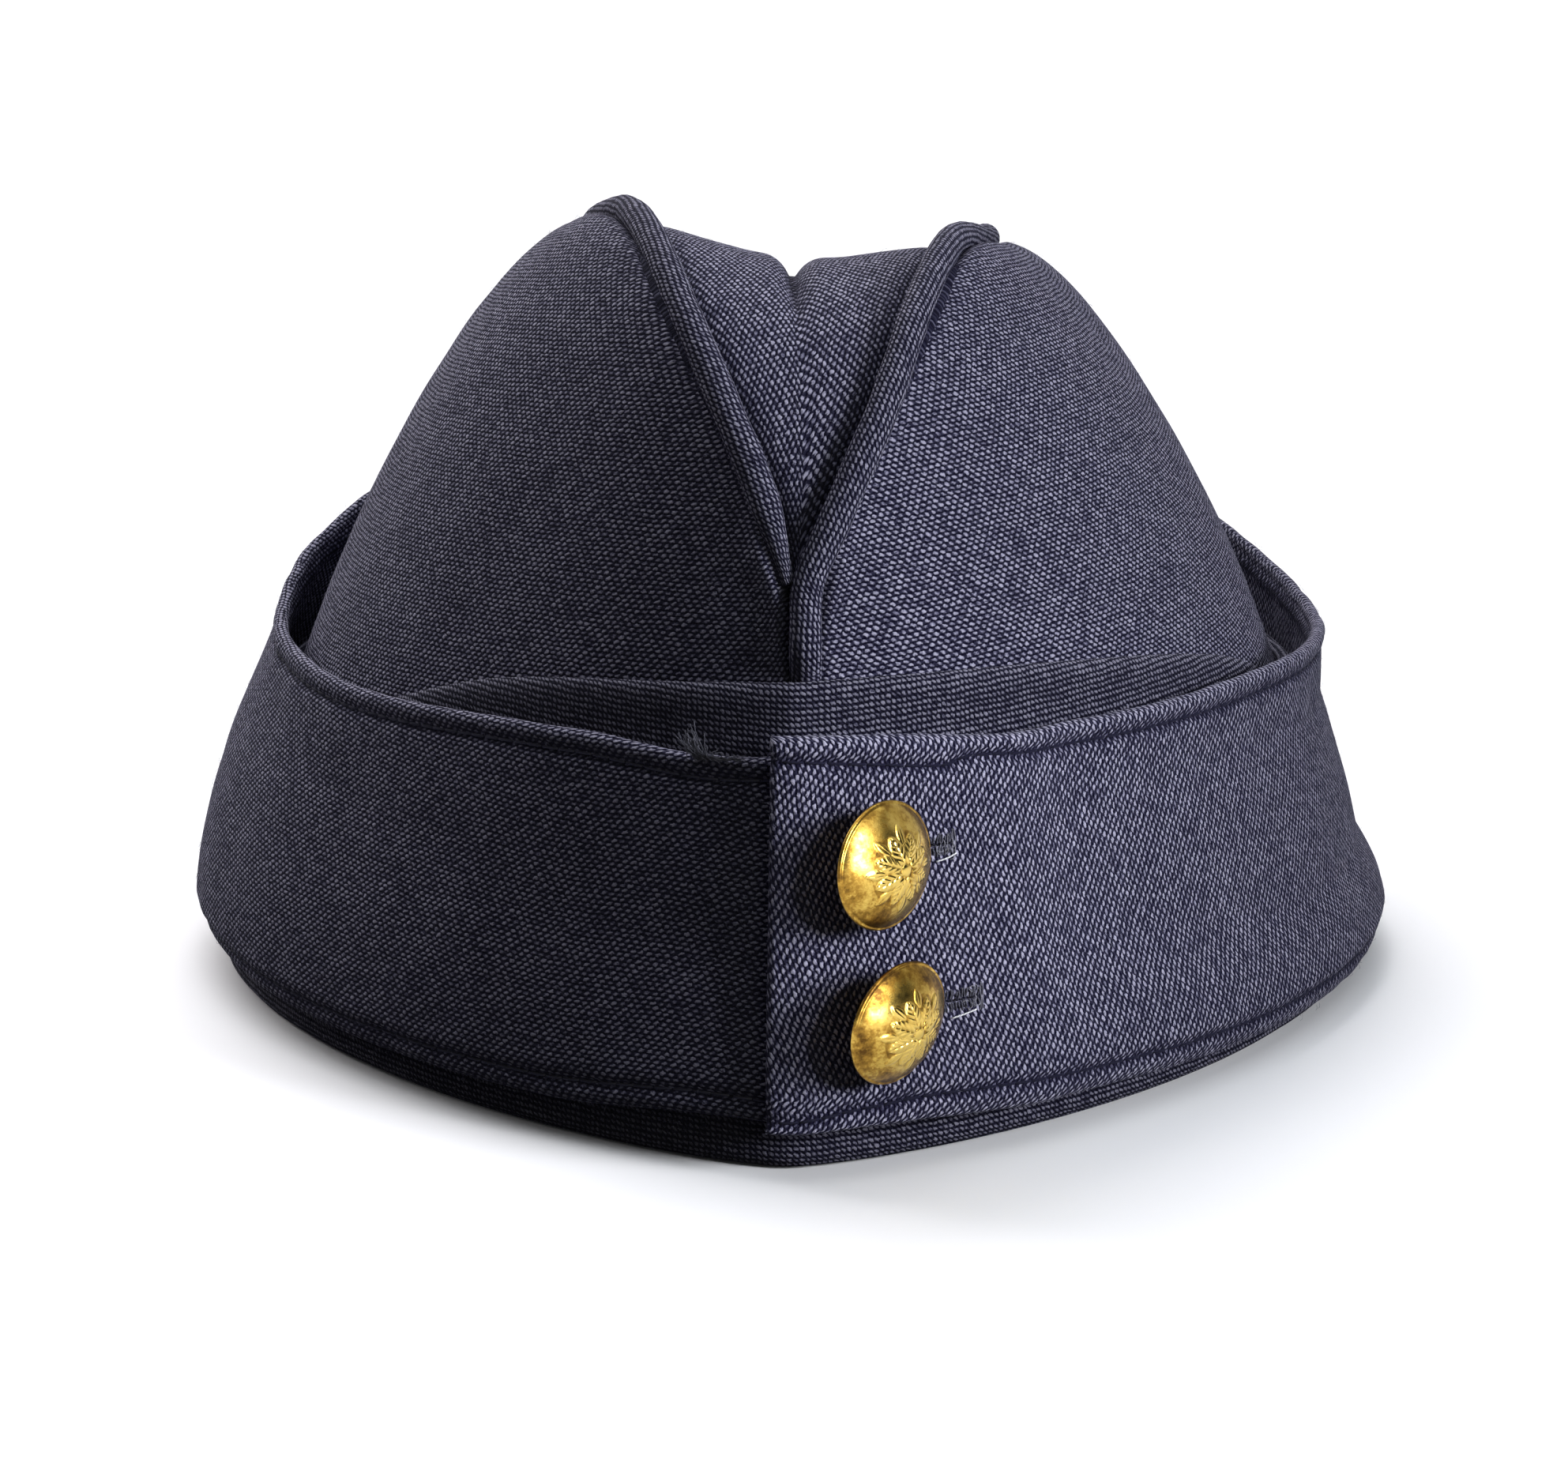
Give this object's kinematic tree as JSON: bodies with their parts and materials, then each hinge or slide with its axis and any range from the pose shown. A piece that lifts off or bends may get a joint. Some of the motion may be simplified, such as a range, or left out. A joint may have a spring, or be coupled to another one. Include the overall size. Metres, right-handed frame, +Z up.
{
  "type": "side cap",
  "caption": "Folded wool side cap with a creased crown, corded crown seams, a turned-up band and buttoned front flaps.",
  "frame": {"origin": "middle of the whole cap in plan, on the plane of the rim that it rests on", "axes": "+Z up out of the crown, -Y towards the buttoned front, +X to the right of someone looking at the front"},
  "size_m": [0.1757, 0.2268, 0.1167],
  "materials": {
    "wool_cloth": "blue-grey woven wool, matt",
    "wool_welt": "blue-grey woven wool cut on the bias over a cord",
    "button_brass": "stamped brass, worn bright on the relief"
  },
  "bodies": {
    "root": {"crown_left": "wool_cloth", "crown_right": "wool_cloth", "crown_gusset": "wool_cloth", "welt_left": "wool_welt", "welt_right": "wool_welt", "turn_up_band": "wool_cloth", "flap_left": "wool_cloth", "flap_right": "wool_cloth", "button_upper": "button_brass", "button_lower": "button_brass"}
  },
  "joints": []
}
